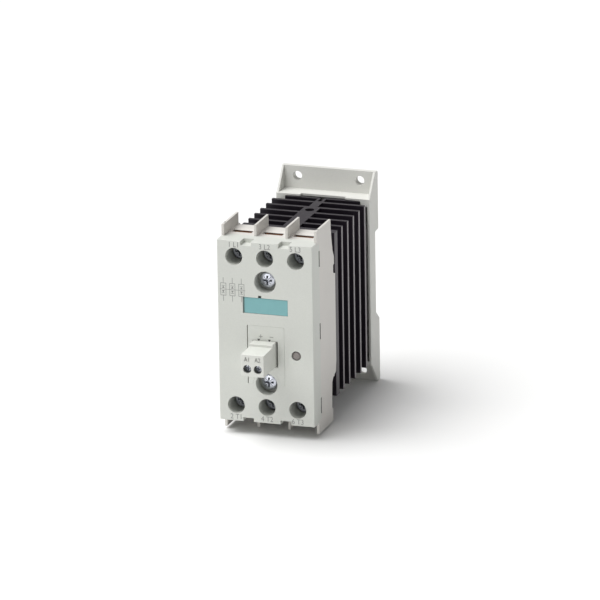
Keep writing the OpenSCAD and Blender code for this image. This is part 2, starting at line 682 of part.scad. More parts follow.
front_cover();
control_insert();
marking_plate();
indicator_lens();
indicator_led();
control_board();
control_header();
header_pins();
trigger_couplers();
gate_resistors();
input_capacitor();
control_chip();
base_housing();
current_bar(-1, 1);  // line_bar_1
current_bar(0, 1);  // line_bar_2
current_bar(1, 1);  // line_bar_3
current_bar(-1, -1);  // load_bar_1
current_bar(0, -1);  // load_bar_2
current_bar(1, -1);  // load_bar_3
terminal_clamp(-1, 1);  // line_clamp_1
terminal_clamp(0, 1);  // line_clamp_2
terminal_clamp(1, 1);  // line_clamp_3
terminal_clamp(-1, -1);  // load_clamp_1
terminal_clamp(0, -1);  // load_clamp_2
terminal_clamp(1, -1);  // load_clamp_3
terminal_screw(-1, 1);  // line_screw_1
terminal_screw(0, 1);  // line_screw_2
terminal_screw(1, 1);  // line_screw_3
terminal_screw(-1, -1);  // load_screw_1
terminal_screw(0, -1);  // load_screw_2
terminal_screw(1, -1);  // load_screw_3
ceramic(-1);  // ceramic_1
ceramic(0);  // ceramic_2
ceramic(1);  // ceramic_3
thyristor_dies();
gate_pins();
power_plate();
thermal_foil();
module_screws();
spring_washers();
heatsink();
mounting_plate();
plate_screws();
rail_latch();
latch_spring();
plug_housing();
plug_contacts();
plug_clamp(1);  // plug_clamp_1
plug_clamp(2);  // plug_clamp_2
plug_screw(1);  // plug_screw_1
plug_screw(2);  // plug_screw_2
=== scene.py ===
import bmesh
import bpy
import json
import math
from mathutils import Matrix, Vector

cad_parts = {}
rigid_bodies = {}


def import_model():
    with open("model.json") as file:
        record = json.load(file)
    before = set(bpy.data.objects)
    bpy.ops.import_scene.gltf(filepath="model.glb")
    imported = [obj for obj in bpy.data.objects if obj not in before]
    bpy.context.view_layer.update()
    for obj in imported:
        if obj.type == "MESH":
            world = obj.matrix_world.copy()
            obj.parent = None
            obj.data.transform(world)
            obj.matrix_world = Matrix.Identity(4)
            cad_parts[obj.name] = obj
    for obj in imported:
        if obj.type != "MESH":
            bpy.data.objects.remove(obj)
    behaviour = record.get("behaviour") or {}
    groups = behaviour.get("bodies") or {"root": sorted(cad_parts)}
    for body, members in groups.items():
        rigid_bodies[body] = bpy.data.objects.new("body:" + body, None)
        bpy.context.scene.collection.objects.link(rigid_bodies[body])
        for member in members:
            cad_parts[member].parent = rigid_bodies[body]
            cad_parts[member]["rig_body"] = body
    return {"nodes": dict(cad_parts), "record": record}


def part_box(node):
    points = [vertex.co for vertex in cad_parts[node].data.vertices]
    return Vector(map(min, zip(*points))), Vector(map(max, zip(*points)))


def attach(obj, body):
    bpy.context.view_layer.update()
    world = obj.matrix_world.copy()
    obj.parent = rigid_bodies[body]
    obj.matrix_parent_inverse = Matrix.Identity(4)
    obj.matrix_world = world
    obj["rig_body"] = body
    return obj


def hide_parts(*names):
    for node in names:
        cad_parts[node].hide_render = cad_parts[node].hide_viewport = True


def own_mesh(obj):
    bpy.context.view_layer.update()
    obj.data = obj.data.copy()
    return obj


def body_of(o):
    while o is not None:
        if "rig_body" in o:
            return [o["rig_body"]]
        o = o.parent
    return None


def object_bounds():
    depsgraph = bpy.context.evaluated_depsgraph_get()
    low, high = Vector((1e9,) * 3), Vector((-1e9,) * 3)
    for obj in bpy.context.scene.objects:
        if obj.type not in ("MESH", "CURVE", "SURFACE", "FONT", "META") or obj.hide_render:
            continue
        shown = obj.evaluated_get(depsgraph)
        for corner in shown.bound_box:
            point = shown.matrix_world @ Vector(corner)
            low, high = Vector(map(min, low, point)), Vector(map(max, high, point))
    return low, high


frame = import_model()
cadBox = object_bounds()
mm = 0.001
onFace = 0.02 * mm  # how near a corner lies to a face it belongs to
onEdge = 0.01 * mm
nodes = frame["nodes"]
slotOf = {part["node"]: part["material_slot"] for part in frame["record"]["subparts"]}
poles = (-1, 0, 1)
sides = ("line", "load")
plugWays = (1, 2)
coverLow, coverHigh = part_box("front_cover")
middle = (coverLow.z + coverHigh.z) / 2


def boxCentre(node):
    low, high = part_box(node)
    return (low.x + high.x) / 2, (low.z + high.z) / 2


# A screen colour in linear light
def srgb(*screen):
    linear = ((c / 255 / 12.92) if c < 10 else ((c / 255 + 0.055) / 1.055) ** 2.4 for c in screen)
    return tuple(linear) + (1,)


def shaded(colour, amount):
    return tuple(min(1, c * amount) for c in colour[:3]) + (1,)


# Camera first: a long lens from the right and above
camera = {"yaw": 18.94, "pitch": 17.41, "roll": -0.91, "distance": 3.696, "lens": 488.2, "sensor": 36,
          "farthest": 60, "target": (0, -0.0452, -0.0064), "nudge": (-0.00096, -0.00444)}


def makeCamera(c):
    yaw, pitch, roll = (math.radians(c[k]) for k in ("yaw", "pitch", "roll"))
    back = Vector((math.sin(yaw) * math.cos(pitch), -math.cos(yaw) * math.cos(pitch), math.sin(pitch)))
    right = Vector((math.cos(yaw), math.sin(yaw), 0))
    up = back.cross(right)
    turnedRight = math.cos(roll) * right + math.sin(roll) * up
    turnedUp = -math.sin(roll) * right + math.cos(roll) * up
    data = bpy.data.cameras.new("camera")
    data.lens = c["lens"]
    data.sensor_width = c["sensor"]
    data.clip_end = c["farthest"]
    thing = bpy.data.objects.new("camera", data)
    bpy.context.scene.collection.objects.link(thing)
    across, along = c["nudge"]
    place = Vector(c["target"]) - across * turnedRight - along * turnedUp + c["distance"] * back
    axes = Matrix((turnedRight, turnedUp, back)).transposed()
    thing.matrix_world = Matrix.Translation(place) @ axes.to_4x4()
    bpy.context.scene.camera = thing


makeCamera(camera)
print("camera ready")


# Materials: a Signal is one output socket, and sums on it add Math nodes
class Signal:
    def __init__(self, finish, socket):
        self.finish = finish
        self.socket = socket

    def sum(self, operation, a, b=0.0):
        return self.finish.add("ShaderNodeMath", {"operation": operation}, {0: a, 1: b})

    def __add__(self, other):
        return self.sum("ADD", self, other)

    def __sub__(self, other):
        return self.sum("SUBTRACT", self, other)

    def __rsub__(self, other):
        return self.sum("SUBTRACT", other, self)

    def __mul__(self, other):
        return self.sum("MULTIPLY", self, other)

    def __gt__(self, other):
        return self.sum("GREATER_THAN", self, other)

    def __lt__(self, other):
        return self.sum("LESS_THAN", self, other)

    def __abs__(self):
        return self.sum("ABSOLUTE", self)

    __radd__ = __add__
    __rmul__ = __mul__


# A Finish is one material, on the pieces' own coordinates
class Finish:
    def __init__(self, name, **fixed):
        self.material = bpy.data.materials.new(name)
        self.material.use_nodes = True
        self.tree = self.material.node_tree
        self.shader = self.tree.nodes["Principled BSDF"]
        self.place = self.add("ShaderNodeTexCoord", {}, {}, "Object")
        self.height = None
        for key, value in fixed.items():
            self.shader.inputs[key.replace("_", " ")].default_value = value

    def add(self, kind, settings, inputs, output=0):
        node = self.tree.nodes.new(kind)
        for key, value in settings.items():
            if key == "stops":
                while len(node.color_ramp.elements) < len(value):
                    node.color_ramp.elements.new(0.5)
                for element, (position, colour) in zip(node.color_ramp.elements, value):
                    element.position = position
                    element.color = colour
            else:
                setattr(node, key, value)
        for key, value in inputs.items():
            self.feed(node.inputs[key], value)
        return Signal(self, node.outputs[output])

    def feed(self, socket, value):
        if isinstance(value, Signal):
            self.tree.links.new(value.socket, socket)
        else:
            socket.default_value = value

    def mix(self, factor, a, b):
        return self.add("ShaderNodeMix", {"data_type": "RGBA"}, {0: factor, 6: a, 7: b}, 2)

    def scaled(self, x=1.0, y=1.0, z=1.0):
        return self.add("ShaderNodeVectorMath", {"operation": "MULTIPLY"}, {0: self.place, 1: (x, y, z)})

    # size is how many millimetres one lump of the noise takes
    def noise(self, size, detail=2.0, stretch=(1, 1, 1)):
        spot = self.scaled(*(s / (size * mm) for s in stretch))
        return self.add("ShaderNodeTexNoise", {}, {"Vector": spot, "Scale": 1.0, "Detail": detail})

    def axis(self, letter):
        return self.add("ShaderNodeSeparateXYZ", {}, {0: self.place}, letter)

    def ramp(self, signal, low, high):
        settings = {"interpolation_type": "SMOOTHSTEP"}
        return self.add("ShaderNodeMapRange", settings, {"Value": signal, "From Min": low, "From Max": high})

    def distance(self, centre):
        inputs = {0: self.place, 1: centre}
        return self.add("ShaderNodeVectorMath", {"operation": "DISTANCE"}, inputs, "Value")

    # What feeds the base colour so far
    def tone(self):
        return Signal(self, self.shader.inputs["Base Color"].links[0].from_socket)

    def colour(self, value):
        self.feed(self.shader.inputs["Base Color"], value)

    def roughness(self, value):
        self.feed(self.shader.inputs["Roughness"], value)

    # depth is in millimetres, and a second bump lies on the first
    def bump(self, signal, depth):
        bump = self.add("ShaderNodeBump", {}, {"Strength": 1.0, "Distance": depth * mm, "Height": signal})
        if self.height:
            self.tree.links.new(self.height.socket, bump.socket.node.inputs["Normal"])
        self.height = bump
        self.feed(self.shader.inputs["Normal"], bump)


# Noise sizes are in millimetres, and uneven is how far the roughness varies
plasticLook = {"cloudSize": 14, "flecksPerGrain": 2.5, "uneven": 0.16, "gloss": 0.4}
metalLook = {"patchSize": 4, "patchShare": 0.6, "lineShare": 0.4, "uneven": 0.12, "dull": 0.12}


def mouldedPlastic(name, tone, roughness=0.45, grain=0.3, relief=0.012, cloud=0.03, fleck=0.04):
    look = plasticLook
    f = Finish(name, Specular_IOR_Level=look["gloss"])
    clouds = f.noise(look["cloudSize"], 3)
    flecks = f.noise(grain * look["flecksPerGrain"])
    base = srgb(*tone)
    weight = cloud / (cloud + fleck)
    pattern = clouds * weight + flecks * (1 - weight)
    f.colour(f.mix(pattern, shaded(base, 1 - cloud - fleck), shaded(base, 1 + cloud + fleck)))
    f.roughness(flecks * look["uneven"] + (roughness - look["uneven"] / 2))
    f.bump(f.noise(grain, 3), relief)
    return f


def metal(name, tone, roughness=0.3, brush=(1, 1, 6), grain=0.25, relief=0.006, metallic=1.0):
    look = metalLook
    f = Finish(name, Metallic=metallic)
    lines = f.noise(grain, 2, brush)
    patches = f.noise(look["patchSize"], 3)
    base = srgb(*tone)
    pattern = patches * look["patchShare"] + lines * look["lineShare"]
    f.colour(f.mix(pattern, shaded(base, 1 - look["dull"]), base))
    f.roughness(patches * look["uneven"] + lines * look["uneven"] + (roughness - look["uneven"]))
    f.bump(lines, relief)
    return f


# Painted shade: the cover's moulding is dull, and its colour is painted darker down inside its holes, wells and pry
# notch, in the slots of its side clips, and in the plug's screw holes
holes = {"pitch": 14.6, "z": 35, "radius": 4.3, "wellZ": 24, "wellRadius": 5.5, "shade": (100, 100, 96),
         "rim": 0.3, "deep": 6.0, "holeWeight": 0.3, "wellWeight": 0.35}
pryNotch = {"x": -2.6, "z": 16.9, "radius": 0.95, "rim": 0.1, "shade": (40, 40, 38), "weight": 0.9}
clipSlots = {"depth": 10, "half": 0.62, "floor": (21.5, 22.45), "shade": (100, 100, 96), "weight": 0.8}
plugHoles = {"radius": 2.1, "rim": 0.1, "deep": 1.5, "shade": (70, 72, 70), "weight": 0.8}


def within(dx, dz, radius):
    return (dx * dx + dz * dz) < (radius * mm) ** 2


# Painted shade: the colour darkens with depth inside the terminal holes and screw wells, and is dark in the pry notch
def shadeHoles(f, h, notch):
    x = f.axis("X")
    y = f.axis("Y") - coverLow.y
    z = f.axis("Z") - middle
    inNotch = within(x - notch["x"] * mm, z - notch["z"] * mm, notch["radius"])
    tone = f.mix((y > notch["rim"] * mm) * inNotch * notch["weight"], f.tone(), srgb(*notch["shade"]))
    column = f.add("ShaderNodeMath", {"operation": "ROUND"}, {0: x * (1 / (h["pitch"] * mm))})
    inHole = within(x - column * (h["pitch"] * mm), abs(z) - h["z"] * mm, h["radius"])
    inWell = within(x, abs(z) - h["wellZ"] * mm, h["wellRadius"])
    depth = f.ramp(y, h["rim"] * mm, h["deep"] * mm)
    weight = depth * (inHole * h["holeWeight"] + inWell * h["wellWeight"])
    f.colour(f.mix(weight, tone, srgb(*h["shade"])))


# Painted shade: the colour is darkened in a band at the depth of the side clips' slots
def shadeClips(f, slots):
    x = abs(f.axis("X"))
    y = f.axis("Y") - coverLow.y
    low, high = slots["floor"]
    inSlot = (abs(y - slots["depth"] * mm) < slots["half"] * mm) * (x < high * mm) * (x > low * mm)
    f.colour(f.mix(inSlot * slots["weight"], f.tone(), srgb(*slots["shade"])))


# Painted shade: the plug's colour darkens with depth inside its two screw holes
def shadePlugHoles(f, h):
    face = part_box("plug_housing")[0].y
    for i in plugWays:
        x, z = boxCentre("plug_screw_" + str(i))
        inside = within(f.axis("X") - x, f.axis("Z") - z, h["radius"])
        depth = f.ramp(f.axis("Y"), face + h["rim"] * mm, face + h["deep"] * mm)
        f.colour(f.mix(depth * inside * h["weight"], f.tone(), srgb(*h["shade"])))


even = (1, 1, 1)
finishes = {
    "cover_plastic": mouldedPlastic("coverMoulding", (207, 209, 203)),
    "housing_plastic": mouldedPlastic("housingMoulding", (212, 209, 204), grain=0.35, cloud=0.04),
    "plug_plastic": mouldedPlastic("plugMoulding", (214, 215, 209), roughness=0.4, grain=0.25, relief=0.008),
    "plate_plastic": mouldedPlastic("plateMoulding", (214, 214, 209), roughness=0.5, grain=0.4, cloud=0.05),
    "black_plastic": mouldedPlastic("blackPart", (32, 32, 34), fleck=0.2),
    "white_plastic": mouldedPlastic("whitePart", (228, 228, 222), fleck=0.05),
    "ceramic": mouldedPlastic("alumina", (236, 234, 226), roughness=0.6, grain=0.15),
    "copper": metal("copperBar", (228, 170, 132), roughness=0.4, brush=(1, 1, 0.15), metallic=0.6),
    "contact_metal": metal("brassContact", (214, 190, 130), roughness=0.32),
    "zinc_steel": metal("brightZinc", (214, 216, 222), roughness=0.27, brush=even),
    "spring_steel": metal("springSteel", (150, 152, 158), brush=(0.3, 1, 1)),
    "foil": metal("softFoil", (190, 190, 194), roughness=0.45, grain=0.8, brush=even, relief=0.02),
    "silicon": metal("polishedDie", (90, 94, 106), roughness=0.18, grain=0.5, brush=even, metallic=0.7)}
# Painted shade in the cover's holes, wells, pry notch and clip slots, in the housing's clip slots and in the plug's
# screw holes
shadeHoles(finishes["cover_plastic"], holes, pryNotch)
shadeClips(finishes["cover_plastic"], clipSlots)
shadeClips(finishes["housing_plastic"], clipSlots)
shadePlugHoles(finishes["plug_plastic"], plugHoles)


# Anodised extrusion: fine lines along its height and sawn ends; its end faces at both sides carry painted light, a
# painted highlight on the fin ends and a dimmer painted light on the base plate's end, mottled by the lines
anodised = {"face": (29, 24, 32), "sawn": (60, 57, 61), "finEndHighlight": (160, 155, 158), "baseEndLight": (92, 88, 92),
            "faceSpread": 0.45, "sawnSpread": 0.4, "lineShare": 0.7, "speckShare": 0.3, "mottle": 0.5, "baseDepth": 5.5,
            "sideSkin": 0.12, "endSkin": 0.08, "roughness": 0.36, "lineRough": 0.15, "sawnRough": 0.12}


def makeAnodised(look):
    low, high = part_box("heatsink")
    f = Finish("anodisedExtrusion", Specular_IOR_Level=0.22, Metallic=0.0)
    lines = f.noise(0.5, 3, (1, 1, 0.01))
    specks = f.noise(0.8, 3)
    saw = f.noise(0.6, 2, (0.12, 1, 1))
    onSide = abs(f.axis("X")) > (high.x - look["sideSkin"] * mm)
    fromCentre = abs(f.axis("Z") - (low.z + high.z) / 2)
    onEnd = fromCentre > ((high.z - low.z) / 2 - look["endSkin"] * mm)
    onBase = f.axis("Y") < (low.y + look["baseDepth"] * mm)
    base, sawnTone = srgb(*look["face"]), srgb(*look["sawn"])
    pattern = lines * look["lineShare"] + specks * look["speckShare"]
    face = f.mix(pattern, shaded(base, 1 - look["faceSpread"]), shaded(base, 1 + look["faceSpread"]))
    sawn = f.mix(saw, shaded(sawnTone, 1 - look["sawnSpread"]), shaded(sawnTone, 1 + look["sawnSpread"]))
    # Painted highlight on the fin ends and painted light on the base plate's end, broken up by the lines towards the
    # anodised tone
    ends = f.mix(onBase, srgb(*look["finEndHighlight"]), srgb(*look["baseEndLight"]))
    paintedLightEnds = f.mix(lines * look["mottle"], ends, base)
    f.colour(f.mix(onEnd, f.mix(onSide, face, paintedLightEnds), sawn))
    f.roughness(lines * look["lineRough"] + onEnd * look["sawnRough"] + look["roughness"])
    f.bump(lines, 0.02)
    f.bump(saw * onEnd, 0.03)
    return f


finishes["black_anodised"] = makeAnodised(anodised)


# Teal marking plate with a darker left border
tealPlate = {"tone": (124, 176, 179), "border": (92, 122, 122), "borderWidth": 0.9, "spread": 0.06}


def makeTeal(look):
    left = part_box("marking_plate")[0].x
    width = look["borderWidth"] * mm
    f = Finish("tealPlate", Specular_IOR_Level=0.4)
    clouds = f.noise(6, 2)
    base = srgb(*look["tone"])
    tone = f.mix(clouds, shaded(base, 1 - look["spread"]), shaded(base, 1 + look["spread"]))
    edge = f.ramp(f.axis("X"), left + width, left + width / 2)
    f.colour(f.mix(edge, tone, srgb(*look["border"])))
    f.roughness(clouds * 0.1 + 0.33)
    f.bump(f.noise(0.3, 2), 0.006)
    return f


finishes["marking"] = makeTeal(tealPlate)


# Indicator lens: smoked plastic with turned rings
smokedLens = {"tone": (128, 121, 118), "rim": (84, 78, 76), "rimFrom": 1.2, "rimTo": 2.1, "ring": 0.8}


def makeLens(look):
    x, z = boxCentre("indicator_lens")
    f = Finish("smokedLens", Coat_Weight=0.6, Coat_Roughness=0.12)
    reach = f.distance((x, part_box("indicator_lens")[0].y, z))
    rings = f.add("ShaderNodeMath", {"operation": "SINE"}, {0: reach * (2 * math.pi / (look["ring"] * mm))})
    rim = f.ramp(reach, look["rimFrom"] * mm, look["rimTo"] * mm)
    f.colour(f.mix(rim, srgb(*look["tone"]), srgb(*look["rim"])))
    f.roughness(rings * 0.06 + 0.3)
    f.bump(rings, 0.02)
    return f


finishes["lens"] = makeLens(smokedLens)


# Parts inside: circuit board, lacquered resistors and the indicator's resin
board = {"field": (22, 92, 52), "fieldToo": (28, 104, 60), "track": (60, 140, 84), "trackWidth": 0.05, "fine": 420}


def makeBoard(look):
    f = Finish("solderResist", Coat_Weight=0.4)
    inputs = {"Vector": f.scaled(look["fine"], look["fine"], look["fine"]), "Scale": 1.0,
              "Mortar Size": look["trackWidth"], "Color1": srgb(*look["field"]),
              "Color2": srgb(*look["fieldToo"]), "Mortar": srgb(*look["track"])}
    tracks = f.add("ShaderNodeTexBrick", {"offset": 0.35, "squash": 1.0}, inputs)
    weave = f.noise(0.5, 2)
    f.colour(f.mix(weave * 0.25, tracks, srgb(14, 70, 40)))
    f.roughness(weave * 0.2 + 0.25)
    f.bump(weave, 0.01)
    return f


finishes["board"] = makeBoard(board)

resistor = {"wire": (200, 200, 205), "coat": (96, 142, 190), "bandA": (150, 60, 40), "bandB": (40, 40, 44),
            "order": ((0.0, "wire"), (0.17, "coat"), (0.3, "bandA"), (0.4, "coat"), (0.55, "bandB"),
                      (0.65, "coat"), (0.88, "wire"))}


def makeResistorCoat(look):
    f = Finish("lacqueredResistor", Coat_Weight=0.5)
    low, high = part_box("gate_resistors")
    along = (f.axis("Z") - low.z) * (1 / (high.z - low.z))
    stops = [(position, srgb(*look[key])) for position, key in look["order"]]
    bands = f.add("ShaderNodeValToRGB", {"stops": stops}, {0: along})
    bands.socket.node.color_ramp.interpolation = "CONSTANT"
    specks = f.noise(0.3, 2)
    f.colour(f.mix(specks * 0.2, bands, srgb(60, 90, 130)))
    f.roughness(specks * 0.15 + 0.25)
    f.bump(specks, 0.005)
    return f


finishes["resistor_coat"] = makeResistorCoat(resistor)


def makeLed():
    f = Finish("yellowResin", Coat_Weight=0.5)
    haze = f.noise(0.8, 2)
    f.colour(f.mix(haze, srgb(222, 160, 40), srgb(240, 190, 80)))
    f.roughness(haze * 0.1 + 0.2)
    f.bump(haze, 0.01)
    return f


finishes["led"] = makeLed()


# Grey printing ink, a little worn
def makeInk(name, tone):
    f = Finish(name, Specular_IOR_Level=0.3)
    mottle = f.noise(0.5, 2)
    f.colour(f.mix(mottle, srgb(*tone), srgb(*(c + 22 for c in tone))))
    f.roughness(mottle * 0.2 + 0.5)
    return f


paleInk = makeInk("paleInk", (122, 123, 121))
darkInk = makeInk("darkInk", (62, 60, 60))

for name, node in nodes.items():
    node.data.materials.clear()
    node.data.materials.append(finishes[slotOf[name]].material)
    for face in node.data.polygons:
        face.material_index = 0
print("materials ready:", len(finishes))


# Mesh work shared by the pieces
def finishPiece(name, bm, body, material, sharpAngle=38):
    for edge in bm.edges:
        edge.smooth = len(edge.link_faces) == 2 and edge.calc_face_angle(0) < math.radians(sharpAngle)
    for face in bm.faces:
        face.smooth = True
        face.material_index = 0
    mesh = bpy.data.meshes.new(name)
    bm.to_mesh(mesh)
    bm.free()
    mesh.materials.append(material)
    piece = bpy.data.objects.new(name, mesh)
    bpy.context.scene.collection.objects.link(piece)
    weighted = piece.modifiers.new("weighted", "WEIGHTED_NORMAL")
    weighted.keep_sharp = True
    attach(piece, body)
    return piece


def cleanCopy(node):
    bm = bmesh.new()
    bm.from_mesh(nodes[node].data)
    bmesh.ops.remove_doubles(bm, verts=bm.verts, dist=1e-7)
    bmesh.ops.dissolve_limit(bm, angle_limit=math.radians(0.6), verts=bm.verts, edges=bm.edges)
    return bm


# Outward edges of minLength or more, or shorter where short agrees, and only where keep agrees
def outerEdges(bm, minLength, keep=None, short=None, crease=30):
    chosen = []
    for edge in bm.edges:
        if len(edge.link_faces) != 2 or edge.calc_face_angle_signed(0) < math.radians(crease):
            continue
        centre = (edge.verts[0].co + edge.verts[1].co) / 2
        longEnough = edge.calc_length() >= minLength * mm or short and short(centre)
        if longEnough and (keep is None or keep(centre)):
            chosen.append(edge)
    return chosen


def soften(bm, edges, width, segments=2):
    bmesh.ops.bevel(bm, geom=edges, offset=width * mm, offset_type="OFFSET", segments=segments, profile=0.5,
                    affect="EDGES", clamp_overlap=False, material=-1)


def softCopy(node, pieceName, width, minLength, keep=None):
    bm = cleanCopy(node)
    soften(bm, outerEdges(bm, minLength, keep), width)
    slot = slotOf[node]
    piece = finishPiece(pieceName, bm, body_of(nodes[node])[0], finishes[slot].material)
    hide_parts(node)


# Front cover: rounded upright edges, lighter softening on the rest, its chamfers left as they are
coverLook = {"corner": 0.4, "cornerLength": 30, "skin": 0.05, "edge": 0.15, "edgeLength": 1, "crease": 50,
             "rim": 1, "inset": 1.2}


def makeCover(look):
    bm = cleanCopy("front_cover")
    skin = look["skin"] * mm
    halfWidth = coverHigh.x - skin

    def atCorner(vert):
        return abs(vert.co.x) > halfWidth and vert.co.y < coverLow.y + skin

    def onRim(p):
        return p.y < coverLow.y + look["rim"] * mm and abs(p.x) < halfWidth - look["inset"] * mm

    def onFront(p):
        return p.y < coverLow.y + onFace

    longest = [e for e in bm.edges if e.calc_length() > look["cornerLength"] * mm]
    soften(bm, [e for e in longest if all(map(atCorner, e.verts))], look["corner"], 4)
    soften(bm, outerEdges(bm, look["edgeLength"], onRim, onFront, look["crease"]), look["edge"])
    piece = finishPiece("coverShell", bm, "housing", finishes["cover_plastic"].material)
    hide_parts("front_cover")


makeCover(coverLook)

# The other mouldings and the extrusion: the long edges are eased, the small ones stay as they are
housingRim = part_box("base_housing")[0].y + 5 * mm
softCopy("base_housing", "housingShell", width=0.16, minLength=3, keep=lambda p: p.y > housingRim)
softCopy("mounting_plate", "mountingPlate", width=0.22, minLength=3,
         keep=lambda p: abs(p.x) > 12 * mm or abs(p.z) > 25 * mm and p.y < 2 * mm)
softCopy("marking_plate", "markingPlate", width=0.12, minLength=1.2)
softCopy("rail_latch", "railLatch", width=0.2, minLength=3)
softCopy("heatsink", "finnedSink", width=0.28, minLength=60)
print("mouldings ready")


# Plug: its rear part fills the socket's height
plugLook = {"edge": 0.3, "edgeLength": 5, "raise": 0.22}


def makePlug(look):
    bm = cleanCopy("plug_housing")
    top = max(v.co.z for v in bm.verts)
    for vert in bm.verts:
        if vert.co.z > top - onEdge:
            vert.co.z += look["raise"] * mm
    soften(bm, outerEdges(bm, look["edgeLength"]), look["edge"], 3)
    piece = finishPiece("plugShell", bm, "control_plug", finishes["plug_plastic"].material)
    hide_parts("plug_housing")


makePlug(plugLook)


# Control insert: fills its opening closely above, below, on the right and round the screw well
insertLook = {"fill": 0.195, "faceDepth": 2, "edge": 0.05, "edgeLength": 3, "wellZ": -24, "wellCut": 6.5}


def makeInsert(look):
    bm = cleanCopy("control_insert")
    fill = look["fill"] * mm
    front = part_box("control_insert")[0].y + onFace
    face = [v for v in bm.verts if v.co.y < front + look["faceDepth"] * mm]
    rightEdge = max(v.co.x for v in face if v.co.y < front)
    topEdge = max(v.co.z for v in face if v.co.y < front)
    bottomEdge = min(v.co.z for v in face if v.co.y < front)
    for vert in face:
        if abs(vert.co.x - rightEdge) < onEdge:
            vert.co.x += fill
        if abs(vert.co.z - topEdge) < onEdge:
            vert.co.z += fill
        if abs(vert.co.z - bottomEdge) < onEdge:
            vert.co.z -= fill
    wellZ = middle + look["wellZ"] * mm
    for vert in bm.verts:
        out = Vector((vert.co.x, 0, vert.co.z - wellZ))
        if abs(out.length - look["wellCut"] * mm) < onFace:
            vert.co -= out.normalized() * fill
    soften(bm, outerEdges(bm, look["edgeLength"], keep=lambda p: p.y < front), look["edge"], 1)
    piece = finishPiece("controlInsert", bm, "housing", finishes["cover_plastic"].material)
    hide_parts("control_insert")


makeInsert(insertLook)


# Screws: crowned heads with eased rims, and painted shade that darkens the recess along its arms and draws its ticks
recessLook = {"shade": (46, 50, 60), "armWeight": 0.85, "armFrom": 0.12, "armTo": 0.62, "tickWeight": 0.75,
              "tickHalf": 0.2, "tickFrom": 0.8}


def zincHead(name, centres, frontY, recess, depth, metallic):
    look = recessLook
    f = metal(name, (206, 209, 218), roughness=0.24, brush=even, grain=0.4, relief=0.02, metallic=metallic)
    low = f.axis("Y") > (frontY + depth * mm)
    for x, z in centres:
        dx = abs(f.axis("X") - x)
        dz = abs(f.axis("Z") - z)
        near = f.distance((x, frontY, z)) < recess * mm
        # Painted shade: the recess arms darken with depth, and the ticks are painted dark with no groove under them
        tick = (abs(dx - dz) < look["tickHalf"] * mm) * ((dx + dz) > look["tickFrom"] * mm)
        arm = f.ramp(dx + dz, recess * look["armFrom"] * mm, recess * look["armTo"] * mm)
        weight = near * (low * arm * look["armWeight"] + tick * look["tickWeight"])
        f.colour(f.mix(weight, f.tone(), srgb(*look["shade"])))
    return f


def makeScrew(node, pieceName, headRadius, crown, rim, recess, metallic, centres):
    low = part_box(node)[0]
    bm = cleanCopy(node)
    front = low.y + onFace

    def reach(p):
        return min(math.hypot(p.x - x, p.z - z) for x, z in centres)

    def onRim(vert):
        return vert.co.y < front and reach(vert.co) > (headRadius - 0.1) * mm

    around = [e for e in bm.edges if len(e.link_faces) == 2 and all(map(onRim, e.verts))]
    soften(bm, [e for e in around if e.calc_face_angle(0) > 0.5], rim, 3)
    # Cuts across the head let it take its crown
    for x, z in centres:
        for i in range(-3, 4):
            for axis in ((1, 0, 0), (0, 0, 1)):
                cut = Vector((x, 0, z)) + Vector(axis) * (i * headRadius * 0.24 + headRadius * 0.05) * mm
                faces = [f for f in bm.faces if f.normal.y < -0.9 and f.calc_center_median().y < front]
                geom = list({v for f in faces for v in f.verts}) + list({e for f in faces for e in f.edges}) + faces
                bmesh.ops.bisect_plane(bm, geom=geom, plane_co=cut, plane_no=axis, dist=1e-7)
    for vert in bm.verts:
        if vert.co.y < low.y + rim * mm + 1e-6:
            vert.co.y += crown * mm * (reach(vert.co) / (headRadius * mm)) ** 2
    finish = zincHead(pieceName + "Zinc", centres, low.y, recess, crown * 0.35 + 0.1, metallic)
    piece = finishPiece(pieceName, bm, body_of(nodes[node])[0], finish.material, 30)
    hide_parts(node)


terminalScrewLook = {"headRadius": 3.5, "crown": 0.5, "rim": 0.35, "recess": 2.5, "metallic": 0.3}
plugScrewLook = {"headRadius": 1.8, "crown": 0.25, "rim": 0.15, "recess": 1.4, "metallic": 0.8}
moduleScrewLook = {"headRadius": 3.8, "crown": 0.8, "rim": 0.5, "recess": 2.4, "metallic": 1.0}


for side in sides:
    for i in (1, 2, 3):
        node = side + "_screw_" + str(i)
        makeScrew(node, side + "Screw" + str(i), centres=[boxCentre(node)], **terminalScrewLook)
for i in plugWays:
    node = "plug_screw_" + str(i)
    makeScrew(node, "plugScrew" + str(i), centres=[boxCentre(node)], **plugScrewLook)
screwLow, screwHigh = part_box("module_screws")
moduleX = (screwLow.x + screwHigh.x) / 2
headReach = moduleScrewLook["headRadius"] * mm
moduleCentres = [(moduleX, screwLow.z + headReach), (moduleX, screwHigh.z - headReach)]
makeScrew("module_screws", "moduleScrews", centres=moduleCentres, **moduleScrewLook)
print("screws ready")


# Indicator lens: a turned shape with a domed front, its profile given as radius and depth
lensLook = {"steps": 48, "profile": [(0, 0), (0.7, 0.02), (1.3, 0.1), (1.75, 0.25), (2.0, 0.45), (2.1, 0.7),
                                     (2.1, 1.9), (2.7, 1.9), (2.7, 2.5), (1.5, 2.5), (1.5, 7.7), (0, 7.7)]}


